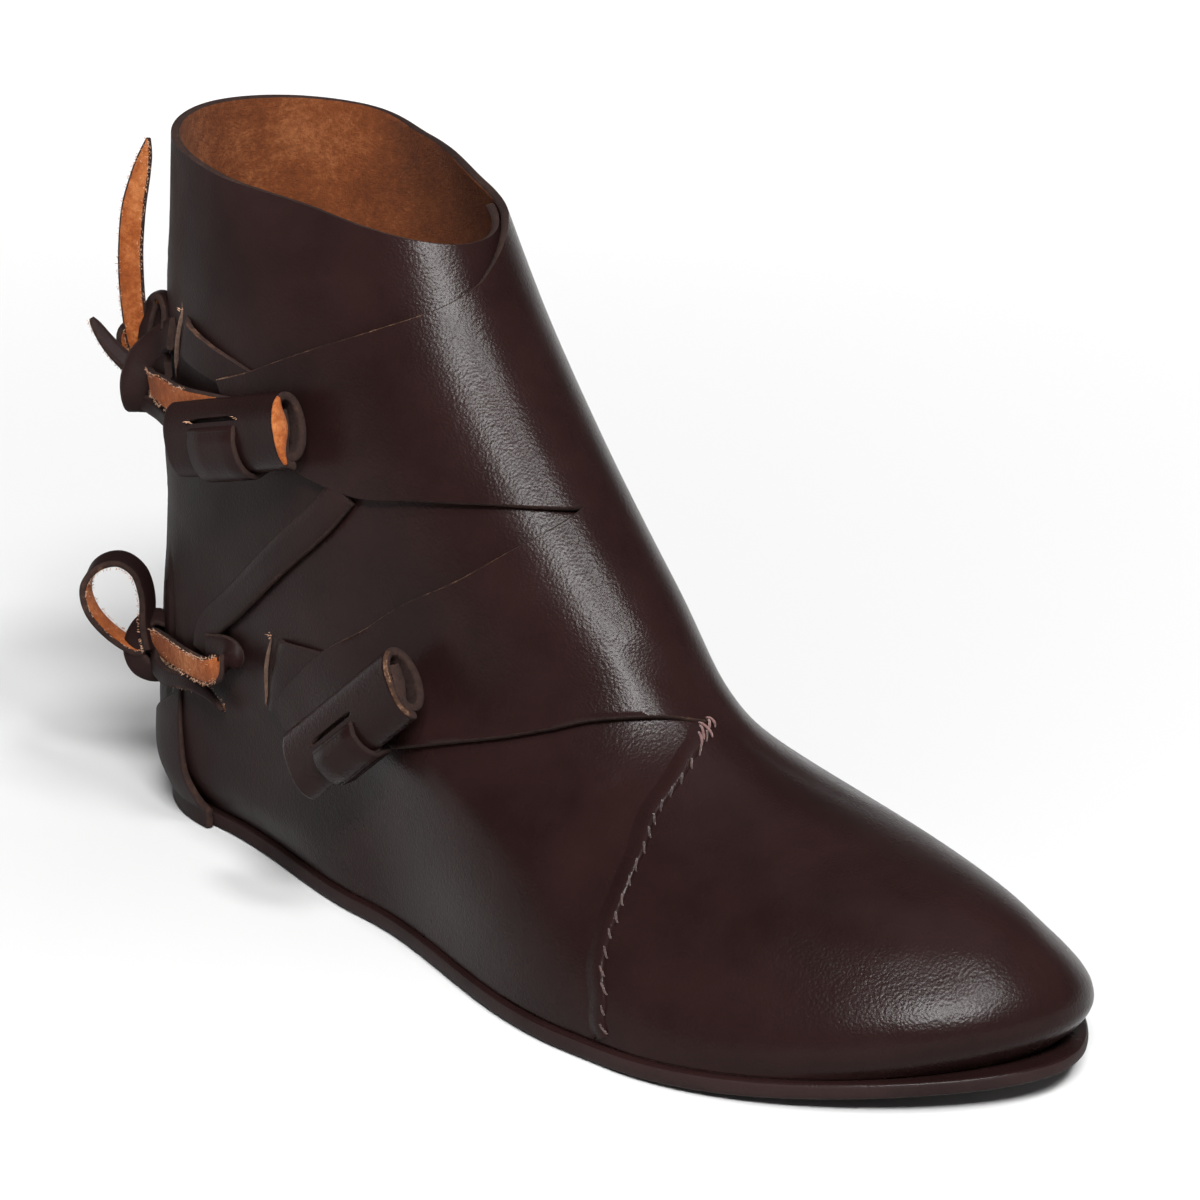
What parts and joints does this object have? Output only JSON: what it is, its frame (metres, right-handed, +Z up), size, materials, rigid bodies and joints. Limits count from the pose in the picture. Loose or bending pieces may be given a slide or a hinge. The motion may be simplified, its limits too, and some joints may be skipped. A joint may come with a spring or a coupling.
{
  "type": "toggle shoe",
  "caption": "Leather ankle shoe for the right foot: wrap-round upper with side flaps held by rolled leather toggles and knotted thongs, on a thin leather sole.",
  "frame": {"origin": "on the flat underside of the sole, below the waist, 140 mm in front of the heel", "axes": "+X from heel to toe, +Y to the inner side of the right foot, +Z up"},
  "size_m": [0.2893, 0.1114, 0.1785],
  "materials": {
    "grain_leather": "dark brown, fine grain, semi-gloss",
    "flesh_leather": "tan flesh side, fibrous and matt",
    "sole_leather": "dark brown cut edge, satin"
  },
  "bodies": {
    "root": {"outsole": "sole_leather", "heel_riser": "sole_leather", "upper": "grain_leather", "ankle_flap": "grain_leather", "instep_flap": "grain_leather", "vamp_seam": "grain_leather", "ankle_toggle": "grain_leather", "instep_toggle": "grain_leather", "ankle_strap": "grain_leather", "instep_strap": "grain_leather", "heel_strap": "grain_leather", "ankle_leg": "flesh_leather", "heel_leg": "flesh_leather", "ankle_knot": "grain_leather", "ankle_tail": "flesh_leather", "ankle_stub": "grain_leather", "instep_knot": "grain_leather", "instep_bow": "grain_leather", "instep_end": "grain_leather"}
  },
  "joints": []
}
